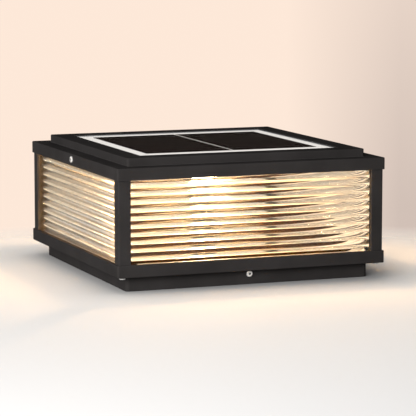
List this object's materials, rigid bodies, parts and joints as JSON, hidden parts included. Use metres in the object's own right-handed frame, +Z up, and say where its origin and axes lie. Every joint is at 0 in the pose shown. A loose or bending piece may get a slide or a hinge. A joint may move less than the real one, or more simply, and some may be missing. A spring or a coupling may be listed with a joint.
{
  "type": "solar pillar light",
  "caption": "Square black pillar-top lantern with a stepped cap holding a solar panel, ribbed clear side panels, a bulb on a central holder and a recessed plinth over a bolted plate.",
  "frame": {"origin": "centre of the mounting face, where the plate and the plinth meet the pillar", "axes": "+Z up through the bulb; -Y is the face with a plinth screw that the picture shows largest; +X to the right of it"},
  "size_m": [0.2534, 0.25, 0.1145],
  "materials": {
    "black_coat": "satin",
    "zinc_plate": "satin",
    "stainless": "polished",
    "ribbed_glass": "gloss",
    "solar_glass": "gloss",
    "bulb_glass": "gloss",
    "black_rubber": "matte",
    "white_coat": "satin",
    "white_backsheet": "matte",
    "silicon": "gloss",
    "tin_ribbon": "satin",
    "black_plastic": "matte",
    "brass": "satin",
    "nickel": "satin",
    "insulator": "gloss",
    "filament": "matte",
    "battery_wrap": "gloss",
    "board_green": "satin",
    "lead_sheath": "satin",
    "button_white": "satin"
  },
  "bodies": {
    "mount": {"mounting_plate": "zinc_plate"},
    "lantern": {"plinth_skirt": "black_coat", "base_tray": "black_coat", "top_rail": "black_coat", "post_front_left": "black_coat", "post_front_right": "black_coat", "post_back_left": "black_coat", "post_back_right": "black_coat", "ribbed_panel_front": "ribbed_glass", "ribbed_panel_right": "ribbed_glass", "ribbed_panel_back": "ribbed_glass", "ribbed_panel_left": "ribbed_glass", "panel_seal_front": "black_rubber", "panel_seal_right": "black_rubber", "panel_seal_back": "black_rubber", "panel_seal_left": "black_rubber", "panel_retainers": "zinc_plate", "lampholder": "black_plastic", "socket_sleeve": "brass", "socket_contact": "brass", "tray_screws": "stainless", "rail_screws": "stainless", "retainer_screws": "stainless", "plinth_screws": "stainless", "holder_screws": "stainless", "base_screws": "stainless", "base_clamp_plates": "zinc_plate", "lamp_lead": "lead_sheath", "floor_grommet": "black_rubber", "frame_contact_block": "black_plastic"},
    "cap": {"cap_shell": "black_coat", "cap_seal": "black_rubber", "solar_gasket": "black_rubber", "solar_backsheet": "white_backsheet", "solar_cells": "silicon", "solar_ribbon": "tin_ribbon", "solar_cover": "solar_glass", "reflector_plate": "white_coat", "reflector_screws": "stainless", "battery_pack": "battery_wrap", "battery_strap": "zinc_plate", "controller_board": "board_green", "board_spacers": "zinc_plate", "board_components": "black_plastic", "bay_screws": "stainless", "solar_junction": "black_plastic", "cap_leads": "lead_sheath", "button_housing": "black_plastic", "cap_contact_block": "black_plastic", "cap_screws": "stainless", "cap_clamp_plates": "zinc_plate"},
    "bulb": {"bulb_base": "nickel", "bulb_insulator": "insulator", "bulb_contact": "brass", "bulb_glass": "bulb_glass", "bulb_stem": "bulb_glass", "filament_supports": "nickel", "bulb_filaments": "filament"},
    "button": {"power_button": "button_white"}
  },
  "joints": [
    {"name": "lantern_lift", "type": "slide", "parent": "mount", "child": "lantern", "axis": [0, 0, 1], "range_m": [0, 0.04]},
    {"name": "cap_lift", "type": "slide", "parent": "lantern", "child": "cap", "axis": [0, 0, 1], "range_m": [0, 0.06]},
    {"name": "bulb_turn", "type": "hinge", "parent": "lantern", "child": "bulb", "pos_m": [0, 0, 0], "axis": [0, 0, 1], "range_deg": [0, 1080]},
    {"name": "button_press", "type": "slide", "parent": "cap", "child": "button", "axis": [0, 0, 1], "range_m": [0, 0.0015], "stiffness_N_per_m": 300, "springref_m": -0.001}
  ]
}
